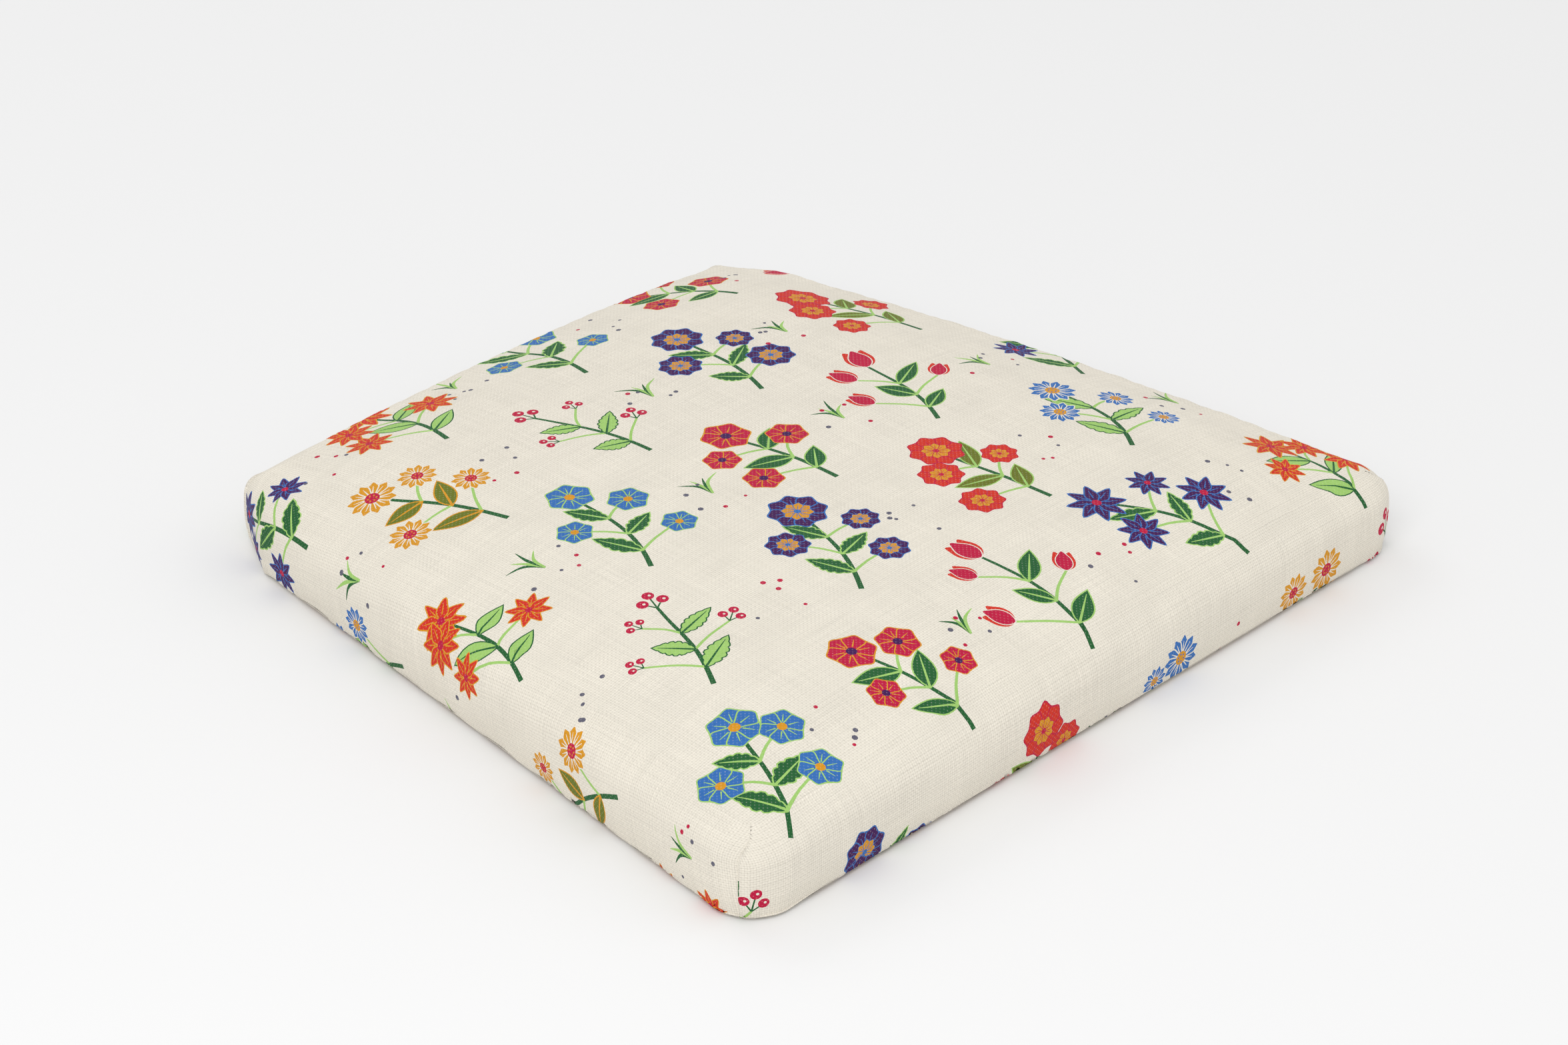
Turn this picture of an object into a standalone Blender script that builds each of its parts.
"""Drop-in upholstered seat pad of a dining chair, as an assembly of its separate pieces.

Metres, +Z up. The front edge faces -Y, the back edge faces +Y, and the underside lies on Z = 0.
A doweled softwood frame carries interlaced webbing, hessian, a foam crown and slab, wadding, a calico
undercover and the printed top cover, which turns under the frame. A bottom cloth closes the underside.
"""

import math

import bmesh
import bpy
from mathutils import Matrix, Vector

# The pad's outline, seen from above, over the top cover.
FRONT_WIDTH = 0.460
BACK_WIDTH = 0.350
DEPTH = 0.410
HEIGHT = 0.062
CLIP_ACROSS = 0.014
CLIP_ALONG = 0.034
FRONT_RADIUS = 0.024
FRONT_STEPS = 6
CLIP_RADIUS = 0.010
CLIP_STEPS = 2
LEAST_RADIUS = 0.004
SIDE_STEP = 0.085

# The rounded shoulder where the side turns into the crowned top.
SHOULDER_RADIUS = 0.014
SHOULDER_START = 0.028
SHOULDER_SWEEP = math.radians(78)
SHOULDER_STEPS = 4
CROWN_POWER = 2.4
CROWN_SCALES = (0.88, 0.70, 0.48, 0.25)
CROWN_ROUND = 0.190

# The top stands higher over the middle of each side than over the corners.
SIDE_RISE = 0.006
CORNER_DROP = 0.002

# The clearance kept between pieces that touch.
GAP = 0.0003

# Depth of each layer's outer face below the outer face of the top cover, and its thickness.
COVER_THICK = 0.0008
CALICO_THICK = 0.0006
WADDING_THICK = 0.0040
CALICO_DEPTH = COVER_THICK + GAP
WADDING_DEPTH = CALICO_DEPTH + CALICO_THICK + GAP
FOAM_DEPTH = WADDING_DEPTH + WADDING_THICK + GAP

# Levels, from the underside up.
CLOTH_THICK = 0.0006
TURN_BOTTOM = CLOTH_THICK + GAP
TURN_TOP = TURN_BOTTOM + COVER_THICK
RAIL_BOTTOM = TURN_TOP + GAP
RAIL_THICK = 0.020
RAIL_TOP = RAIL_BOTTOM + RAIL_THICK
WEB_THICK = 0.0012
WEB_LOW = RAIL_TOP + GAP
WEB_HIGH = WEB_LOW + WEB_THICK + GAP
HESSIAN_THICK = 0.0006
HESSIAN_BOTTOM = WEB_HIGH + WEB_THICK + GAP
FOAM_BOTTOM = HESSIAN_BOTTOM + HESSIAN_THICK + GAP

# The top cover's margin under the frame, and the small radius where it turns.
TURN_WIDTH = 0.016
TURN_RADIUS = 0.0015
CALICO_HEM = 0.0032
CLOTH_INSET = 0.010

# The frame: rails butt-jointed with two dowels at each end of a side rail.
FRAME_INSET = WADDING_DEPTH
RAIL_WIDTH = 0.050
RAIL_BEVEL = 0.0015
DOWEL_RADIUS = 0.004
DOWEL_LENGTH = 0.036
DOWEL_CHAMFER = 0.001
DOWEL_END_CLEAR = 0.0006
DOWEL_SPREAD = 0.012
DOWEL_SIDES = 20

# Jute webbing, woven over and under.
WEB_WIDTH = 0.050
WEB_INSET = 0.014
WEB_FOLD = 0.022
WEB_LONG_SPACING = 0.062
WEB_CROSS_SPACING = 0.105
WEB_LONG_COUNT = 4
WEB_CROSS_COUNT = 3
WEB_CLEAR = 0.0015
HESSIAN_INSET = 0.012

# The foam crown, a smaller feathered layer under the slab.
CROWN_PAD_SCALE = 0.72
CROWN_PAD_EDGE = 0.0010
CROWN_PAD_RISE = 0.0070
CROWN_PAD_POWER = 2.2
SLAB_STEP_SCALE = 0.74

# Wire staples that hold the bottom cloth.
STAPLE_INSET = 0.021
STAPLE_LENGTH = 0.010
STAPLE_WIRE = 0.0005
STAPLE_ACROSS = 0.0010
STAPLE_HEIGHT = 0.0064
STAPLE_LIFT = 0.0001
STAPLE_COUNTS = {"front": 8, "right": 7, "back": 6, "left": 7}
STAPLE_END_MARGIN = 0.030


def clear_scene():
    for obj in list(bpy.data.objects):
        bpy.data.objects.remove(obj, do_unlink=True)


def make_material(name, color, roughness, metallic=0.0):
    material = bpy.data.materials.new(name)
    material.use_nodes = True
    shader = material.node_tree.nodes["Principled BSDF"]
    shader.inputs["Base Color"].default_value = (*color, 1.0)
    shader.inputs["Roughness"].default_value = roughness
    shader.inputs["Metallic"].default_value = metallic
    material.diffuse_color = (*color, 1.0)
    return material


def make_object(name, points, faces, material):
    """A mesh object with its faces turned outwards."""
    mesh = bpy.data.meshes.new(name)
    mesh.from_pydata([tuple(point) for point in points], [], faces)
    shape = bmesh.new()
    shape.from_mesh(mesh)
    bmesh.ops.recalc_face_normals(shape, faces=shape.faces)
    shape.to_mesh(mesh)
    shape.free()
    obj = bpy.data.objects.new(name, mesh)
    bpy.context.scene.collection.objects.link(obj)
    if material is not None:
        mesh.materials.append(material)
    return obj


def smooth(obj, degrees=35):
    obj.data.shade_smooth()
    obj.data.set_sharp_from_angle(angle=math.radians(degrees))


def half_width(y):
    """Half the pad's width at a distance along Y, before the back corners are clipped."""
    share = (y + DEPTH / 2) / DEPTH
    return (FRONT_WIDTH + (BACK_WIDTH - FRONT_WIDTH) * share) / 2


def plan_corners():
    """The outline's corners from above, anticlockwise from the front left, with each one's radius."""
    front = -DEPTH / 2
    back = DEPTH / 2
    clip = back - CLIP_ALONG
    return [
        (Vector((-half_width(front), front)), FRONT_RADIUS),
        (Vector((half_width(front), front)), FRONT_RADIUS),
        (Vector((half_width(clip), clip)), CLIP_RADIUS),
        (Vector((half_width(back) - CLIP_ACROSS, back)), CLIP_RADIUS),
        (Vector((CLIP_ACROSS - half_width(back), back)), CLIP_RADIUS),
        (Vector((-half_width(clip), clip)), CLIP_RADIUS),
    ]


def inset_corner(before, corner, after, inset):
    """Where the two sides that meet at a corner cross once each has moved inwards."""
    along_in = (corner - before).normalized()
    along_out = (after - corner).normalized()
    inward_in = Vector((-along_in.y, along_in.x))
    inward_out = Vector((-along_out.y, along_out.x))
    middle = (inward_in + inward_out).normalized()
    return corner + middle * (inset / middle.dot(inward_in))


def fillet(before, corner, after, radius, steps):
    """The arc that rounds a corner, as steps + 1 points."""
    to_before = (before - corner).normalized()
    to_after = (after - corner).normalized()
    half = to_before.angle(to_after) / 2
    start = corner + to_before * (radius / math.tan(half))
    centre = corner + (to_before + to_after).normalized() * (radius / math.sin(half))
    spoke = start - centre
    turn = math.pi - 2 * half
    return [centre + Matrix.Rotation(turn * step / steps, 2) @ spoke for step in range(steps + 1)]


def outline(inset):
    """The pad's outline moved inwards, with the same number of points whatever the inset."""
    corners = plan_corners()
    count = len(corners)
    moved = []
    for index, (corner, _) in enumerate(corners):
        before = corners[index - 1][0]
        after = corners[(index + 1) % count][0]
        moved.append(inset_corner(before, corner, after, inset))
    points = []
    for index, (_, radius) in enumerate(corners):
        steps = FRONT_STEPS if radius == FRONT_RADIUS else CLIP_STEPS
        reduced = max(radius - inset, LEAST_RADIUS)
        arc = fillet(moved[index - 1], moved[index], moved[(index + 1) % count], reduced, steps)
        if points:
            points += between(points[-1], arc[0])
        points += arc
    return points + between(points[-1], points[0])


def between(start, end):
    """Points that split a long straight side, so that the crown over it can curve."""
    parts = max(1, round((end - start).length / SIDE_STEP))
    return [start.lerp(end, step / parts) for step in range(1, parts)]


def level_ring(plan, z):
    return [Vector((point.x, point.y, z)) for point in plan]


def crown_ring(plan, z, scale):
    """The outline drawn in towards the centre, and rounder the nearer it comes."""
    ring = []
    for point in plan:
        drawn = point.lerp(point.normalized() * CROWN_ROUND, 1 - scale) * scale
        ring.append(Vector((drawn.x, drawn.y, z)))
    return ring


def swollen(point):
    """The point moved up over the centre and the middles of the sides, and down towards the corners."""
    corner = min(abs(point.x) / half_width(point.y) * abs(point.y) / (DEPTH / 2), 1) ** 2
    level = (point.z - FOAM_BOTTOM) / (SHOULDER_START + SHOULDER_RADIUS - FOAM_BOTTOM)
    share = min(max(level, 0), 1)
    return Vector((point.x, point.y, point.z + share * (SIDE_RISE * (1 - corner) - CORNER_DROP * corner)))


def skin_rings(depth, hem):
    """Rings of a face that lies a given depth under the pad's outer face, from its hem up to the centre."""
    radius = SHOULDER_RADIUS - depth
    rings = [level_ring(outline(depth), hem)]
    for step in range(SHOULDER_STEPS + 1):
        angle = SHOULDER_SWEEP * step / SHOULDER_STEPS
        inset = SHOULDER_RADIUS - radius * math.cos(angle)
        rings.append(level_ring(outline(inset), SHOULDER_START + radius * math.sin(angle)))
    edge = rings[-1][0].z
    top = HEIGHT - SIDE_RISE - depth
    plan = outline(SHOULDER_RADIUS - radius * math.cos(SHOULDER_SWEEP))
    for scale in CROWN_SCALES:
        rings.append(crown_ring(plan, edge + (top - edge) * (1 - scale**CROWN_POWER), scale))
    rings.append([Vector((0, 0, top))])
    return [[swollen(point) for point in ring] for ring in rings]


def bridge(name, rings, material):
    """A closed solid over a run of rings whose first and last are single points."""
    points = []
    starts = []
    for ring in rings:
        starts.append(len(points))
        points += ring
    faces = []
    for index in range(len(rings) - 1):
        low, high = rings[index], rings[index + 1]
        low_start, high_start = starts[index], starts[index + 1]
        count = max(len(low), len(high))
        for step in range(count):
            following = (step + 1) % count
            if len(low) == 1:
                faces.append((low_start, high_start + following, high_start + step))
            elif len(high) == 1:
                faces.append((low_start + step, low_start + following, high_start))
            else:
                corners = (low_start + step, low_start + following)
                faces.append((*corners, high_start + following, high_start + step))
    obj = make_object(name, points, faces, material)
    smooth(obj)
    return obj


def prism(name, plan, bottom, top, material):
    """A flat solid over a convex outline."""
    count = len(plan)
    points = level_ring(plan, bottom) + level_ring(plan, top)
    faces = [tuple(reversed(range(count))), tuple(range(count, 2 * count))]
    for step in range(count):
        following = (step + 1) % count
        faces.append((step, following, count + following, count + step))
    return make_object(name, points, faces, material)


def keep_side(plan, point, inward):
    """The part of a convex outline on the inward side of a line."""
    kept = []
    for index, corner in enumerate(plan):
        before = plan[index - 1]
        reach_before = (before - point).dot(inward)
        reach = (corner - point).dot(inward)
        if (reach_before < 0) != (reach < 0):
            kept.append(before.lerp(corner, reach_before / (reach_before - reach)))
        if reach >= 0:
            kept.append(corner)
    return kept


def joint_y(end):
    """The Y of a front (-1) or back (1) rail's inner face."""
    return end * (DEPTH / 2 - FRAME_INSET - RAIL_WIDTH)


def side_line(side):
    """A point on a side rail's inner face, and the direction from the rail's inner face outwards."""
    along = Vector((half_width(DEPTH / 2) - half_width(-DEPTH / 2), DEPTH)).normalized()
    outward = Vector((along.y, -along.x))
    point = Vector((half_width(0), 0)) - outward * (FRAME_INSET + RAIL_WIDTH)
    return Vector((side * point.x, point.y)), Vector((side * outward.x, outward.y))


def make_cross_rail(name, end, material):
    plan = keep_side(outline(FRAME_INSET), Vector((0, joint_y(end))), Vector((0, end)))
    return prism(name, plan, RAIL_BOTTOM, RAIL_TOP, material)


def make_side_rail(name, side, material):
    plan = outline(FRAME_INSET)
    for end in (-1, 1):
        shoulder = Vector((0, joint_y(end) - end * GAP))
        plan = keep_side(plan, shoulder, Vector((0, -end)))
    point, outward = side_line(side)
    plan = keep_side(plan, point, outward)
    return prism(name, plan, RAIL_BOTTOM, RAIL_TOP, material)


def dowel_places():
    """Name and centre of each dowel, two at each end of each side rail."""
    places = []
    for end, end_name in ((-1, "front"), (1, "back")):
        for side, side_name in ((-1, "left"), (1, "right")):
            middle = half_width(joint_y(end)) - FRAME_INSET - RAIL_WIDTH / 2
            for offset, offset_name in ((-DOWEL_SPREAD, "inner"), (DOWEL_SPREAD, "outer")):
                centre = Vector((side * (middle + offset), joint_y(end), RAIL_BOTTOM + RAIL_THICK / 2))
                places.append((f"dowel_{end_name}_{side_name}_{offset_name}", centre))
    return places


def round_bar(centre, radius, length, chamfer):
    """Points and faces of a round bar along Y with chamfered ends."""
    profile = [
        (-length / 2, radius - chamfer),
        (-length / 2 + chamfer, radius),
        (length / 2 - chamfer, radius),
        (length / 2, radius - chamfer),
    ]
    points = []
    for along, reach in profile:
        for step in range(DOWEL_SIDES):
            angle = 2 * math.pi * step / DOWEL_SIDES
            points.append(centre + Vector((reach * math.cos(angle), along, reach * math.sin(angle))))
    faces = [tuple(range(DOWEL_SIDES)), tuple(range(3 * DOWEL_SIDES, 4 * DOWEL_SIDES))]
    for ring in range(len(profile) - 1):
        for step in range(DOWEL_SIDES):
            following = (step + 1) % DOWEL_SIDES
            low = ring * DOWEL_SIDES
            high = low + DOWEL_SIDES
            faces.append((low + step, low + following, high + following, high + step))
    return points, faces


def join_parts(name, parts):
    """One hidden cutter made of several separate closed shapes."""
    points = []
    faces = []
    for part_points, part_faces in parts:
        start = len(points)
        points += part_points
        faces += [tuple(start + index for index in face) for face in part_faces]
    cutter = make_object(name, points, faces, None)
    cutter.hide_render = True
    cutter.display_type = "WIRE"
    return cutter


def cut(obj, cutter):
    modifier = obj.modifiers.new(f"cut_{cutter.name}", "BOOLEAN")
    modifier.operation = "DIFFERENCE"
    modifier.solver = "EXACT"
    modifier.object = cutter


def soften_edges(obj):
    modifier = obj.modifiers.new("edges", "BEVEL")
    modifier.width = RAIL_BEVEL
    modifier.segments = 2
    modifier.limit_method = "ANGLE"
    modifier.angle_limit = math.radians(40)


def make_frame(leg_cutter):
    wood = make_material("rail_wood", (0.66, 0.48, 0.30), 0.6)
    dowel_wood = make_material("dowel_wood", (0.74, 0.58, 0.40), 0.6)
    holes = []
    for name, centre in dowel_places():
        make_object(name, *round_bar(centre, DOWEL_RADIUS, DOWEL_LENGTH, DOWEL_CHAMFER), dowel_wood)
        hole_length = DOWEL_LENGTH + 2 * DOWEL_END_CLEAR
        holes.append(round_bar(centre, DOWEL_RADIUS + GAP, hole_length, DOWEL_CHAMFER))
    dowel_cutter = join_parts("dowel_holes", holes)
    rails = [
        make_cross_rail("front_rail", -1, wood),
        make_cross_rail("back_rail", 1, wood),
        make_side_rail("left_rail", -1, wood),
        make_side_rail("right_rail", 1, wood),
    ]
    for rail in rails:
        soften_edges(rail)
        cut(rail, dowel_cutter)
        cut(rail, leg_cutter)


def ribbon_levels(reach, crossings):
    """Distance and underside level along half-woven webbing that rises over each crossing marked True."""
    levels = [(-reach, WEB_LOW)]
    flat = WEB_WIDTH / 2 + WEB_CLEAR
    ramp = WEB_LONG_SPACING - 2 * flat
    for centre, over in crossings:
        if over:
            levels.append((centre - flat - ramp, WEB_LOW))
            levels.append((centre - flat, WEB_HIGH))
            levels.append((centre + flat, WEB_HIGH))
            levels.append((centre + flat + ramp, WEB_LOW))
    levels.append((reach, WEB_LOW))
    return levels


def make_ribbon(name, place, reach, crossings, along_y, material):
    """A webbing strip with its ends folded double, drawn as a side profile swept across its width."""
    under = ribbon_levels(reach, crossings)
    over = [(distance, level + WEB_THICK) for distance, level in under[1:-1]]
    fold = WEB_LOW + 2 * WEB_THICK
    step = WEB_LOW + WEB_THICK
    start = [(-reach, fold), (-reach + WEB_FOLD, fold), (-reach + WEB_FOLD, step)]
    end = [(reach - WEB_FOLD, step), (reach - WEB_FOLD, fold), (reach, fold)]
    profile = under + list(reversed(start + over + end))
    count = len(profile)
    points = []
    for offset in (-WEB_WIDTH / 2, WEB_WIDTH / 2):
        for distance, level in profile:
            across = place + offset
            points.append((across, distance, level) if along_y else (distance, across, level))
    faces = [tuple(range(count)), tuple(range(count, 2 * count))]
    for index in range(count):
        following = (index + 1) % count
        faces.append((index, following, count + following, count + index))
    return make_object(name, points, faces, material)


def make_webbing():
    jute = make_material("webbing_jute", (0.48, 0.36, 0.20), 0.9)
    long_places = [(index - (WEB_LONG_COUNT - 1) / 2) * WEB_LONG_SPACING for index in range(WEB_LONG_COUNT)]
    cross_places = [(index - (WEB_CROSS_COUNT - 1) / 2) * WEB_CROSS_SPACING for index in range(WEB_CROSS_COUNT)]
    for index, place in enumerate(long_places):
        over = [(other, (index + step) % 2 == 0) for step, other in enumerate(cross_places)]
        make_ribbon(f"webbing_long_{index + 1}", place, DEPTH / 2 - WEB_INSET, over, True, jute)
    for step, place in enumerate(cross_places):
        over = [(other, (index + step) % 2 == 1) for index, other in enumerate(long_places)]
        reach = half_width(place + WEB_WIDTH / 2) - WEB_INSET
        make_ribbon(f"webbing_cross_{step + 1}", place, reach, over, False, jute)


def make_hessian():
    hessian = make_material("hessian", (0.52, 0.40, 0.24), 0.95)
    top = HESSIAN_BOTTOM + HESSIAN_THICK
    prism("hessian", outline(HESSIAN_INSET), HESSIAN_BOTTOM, top, hessian)


def crown_pad_top(scale):
    share = scale / CROWN_PAD_SCALE
    return FOAM_BOTTOM + CROWN_PAD_EDGE + CROWN_PAD_RISE * (1 - share**CROWN_PAD_POWER)


def make_foam():
    crown_foam = make_material("foam_crown", (0.80, 0.76, 0.60), 0.95)
    slab_foam = make_material("foam_slab", (0.86, 0.82, 0.66), 0.95)
    plan = outline(FOAM_DEPTH)
    scales = [CROWN_PAD_SCALE * share for share in (1.0, 0.8, 0.55, 0.3)]
    crown = [[Vector((0, 0, FOAM_BOTTOM))], crown_ring(plan, FOAM_BOTTOM, CROWN_PAD_SCALE)]
    crown += [crown_ring(plan, crown_pad_top(scale), scale) for scale in scales]
    crown.append([Vector((0, 0, crown_pad_top(0)))])
    bridge("foam_crown", crown, crown_foam)
    slab = [[Vector((0, 0, crown_pad_top(0) + GAP))]]
    slab += [crown_ring(plan, crown_pad_top(scale) + GAP, scale) for scale in reversed(scales)]
    slab.append(crown_ring(plan, FOAM_BOTTOM, SLAB_STEP_SCALE))
    slab += skin_rings(FOAM_DEPTH, FOAM_BOTTOM)
    bridge("foam_slab", slab, slab_foam)


def make_layer(name, depth, thickness, hem, material):
    """A cap over the top and the sides, open below."""
    outer = skin_rings(depth, hem)
    inner = skin_rings(depth + thickness, hem)
    return bridge(name, list(reversed(outer)) + inner, material)


def make_inner_layers():
    wadding = make_material("wadding", (0.90, 0.89, 0.86), 1.0)
    calico = make_material("calico", (0.84, 0.79, 0.69), 0.9)
    make_layer("wadding", WADDING_DEPTH, WADDING_THICK, RAIL_TOP + GAP, wadding)
    make_layer("calico_undercover", CALICO_DEPTH, CALICO_THICK, CALICO_HEM, calico)


def make_cover():
    """The printed cover: over the top, down the sides and turned under the frame."""
    print_cloth = make_material("print_cloth", (0.83, 0.79, 0.70), 0.85)
    inner_radius = TURN_RADIUS + COVER_THICK / 2
    outer = skin_rings(0, TURN_BOTTOM + TURN_RADIUS)
    inner = skin_rings(COVER_THICK, TURN_TOP + inner_radius - COVER_THICK / 2)
    turn = [
        level_ring(outline(TURN_RADIUS), TURN_BOTTOM),
        level_ring(outline(TURN_WIDTH), TURN_BOTTOM),
        level_ring(outline(TURN_WIDTH), TURN_TOP),
        level_ring(outline(COVER_THICK + TURN_RADIUS), TURN_TOP),
    ]
    bridge("top_cover", list(reversed(outer)) + turn + inner, print_cloth)


def box(place, along, half_long, half_across, low, high):
    """Points and faces of an upright box whose long side runs along a direction in plan."""
    across = Vector((-along.y, along.x))
    points = []
    for level in (low, high):
        for long_sign, across_sign in ((-1, -1), (1, -1), (1, 1), (-1, 1)):
            corner = place + along * (long_sign * half_long) + across * (across_sign * half_across)
            points.append(Vector((corner.x, corner.y, level)))
    faces = [(3, 2, 1, 0), (4, 5, 6, 7), (0, 1, 5, 4), (1, 2, 6, 5), (2, 3, 7, 6), (3, 0, 4, 7)]
    return points, faces


def staple_places():
    """Name, centre and direction of each staple, evenly spaced along each side of the bottom cloth."""
    corners = [corner for corner, _ in plan_corners()]
    inner = []
    for index, corner in enumerate(corners):
        after = corners[(index + 1) % len(corners)]
        inner.append(inset_corner(corners[index - 1], corner, after, STAPLE_INSET))
    sides = {
        "front": (inner[0], inner[1]),
        "right": (inner[1], inner[2]),
        "back": (inner[3], inner[4]),
        "left": (inner[5], inner[0]),
    }
    places = []
    for side, (start, end) in sides.items():
        along = (end - start).normalized()
        first = start + along * STAPLE_END_MARGIN
        last = end - along * STAPLE_END_MARGIN
        for index in range(STAPLE_COUNTS[side]):
            share = index / (STAPLE_COUNTS[side] - 1)
            places.append((f"staple_{side}_{index + 1}", first.lerp(last, share), along))
    return places


def make_staple(name, place, along, material):
    """A wire staple with its crown level with the bottom cloth and its legs up in the rail."""
    half = STAPLE_LENGTH / 2
    top = STAPLE_LIFT + STAPLE_HEIGHT
    bend = STAPLE_LIFT + STAPLE_WIRE
    profile = [
        (-half, STAPLE_LIFT),
        (half, STAPLE_LIFT),
        (half, top),
        (half - STAPLE_WIRE, top),
        (half - STAPLE_WIRE, bend),
        (STAPLE_WIRE - half, bend),
        (STAPLE_WIRE - half, top),
        (-half, top),
    ]
    across = Vector((-along.y, along.x)) * (STAPLE_ACROSS / 2)
    count = len(profile)
    points = []
    for sign in (-1, 1):
        for distance, level in profile:
            corner = place + along * distance + across * sign
            points.append(Vector((corner.x, corner.y, level)))
    faces = [tuple(range(count)), tuple(range(count, 2 * count))]
    for index in range(count):
        following = (index + 1) % count
        faces.append((index, following, count + following, count + index))
    return make_object(name, points, faces, material)


def staple_leg_cutter():
    """The holes that the staples' legs make in the rails."""
    holes = []
    low = CLOTH_THICK + GAP / 2
    high = STAPLE_LIFT + STAPLE_HEIGHT + GAP
    for _, place, along in staple_places():
        for sign in (-1, 1):
            leg = place + along * (sign * (STAPLE_LENGTH - STAPLE_WIRE) / 2)
            holes.append(box(leg, along, STAPLE_WIRE / 2 + GAP, STAPLE_ACROSS / 2 + GAP, low, high))
    return join_parts("staple_leg_holes", holes)


def staple_crown_cutter():
    """The slots in the bottom cloth that the staples' crowns are pressed into."""
    slots = []
    for _, place, along in staple_places():
        reach = STAPLE_LENGTH / 2 + GAP
        slots.append(box(place, along, reach, STAPLE_ACROSS / 2 + GAP, -GAP, CLOTH_THICK + GAP / 2))
    return join_parts("staple_crown_slots", slots)


def make_bottom_cloth():
    black_cloth = make_material("bottom_cloth", (0.035, 0.035, 0.038), 0.95)
    cloth = prism("bottom_cloth", outline(CLOTH_INSET), 0.0, CLOTH_THICK, black_cloth)
    cut(cloth, staple_crown_cutter())


def make_staples():
    steel = make_material("staple_steel", (0.62, 0.62, 0.63), 0.3, 1.0)
    for name, place, along in staple_places():
        make_staple(name, place, along, steel)


def main():
    clear_scene()
    make_frame(staple_leg_cutter())
    make_webbing()
    make_hessian()
    make_foam()
    make_inner_layers()
    make_cover()
    make_bottom_cloth()
    make_staples()


main()
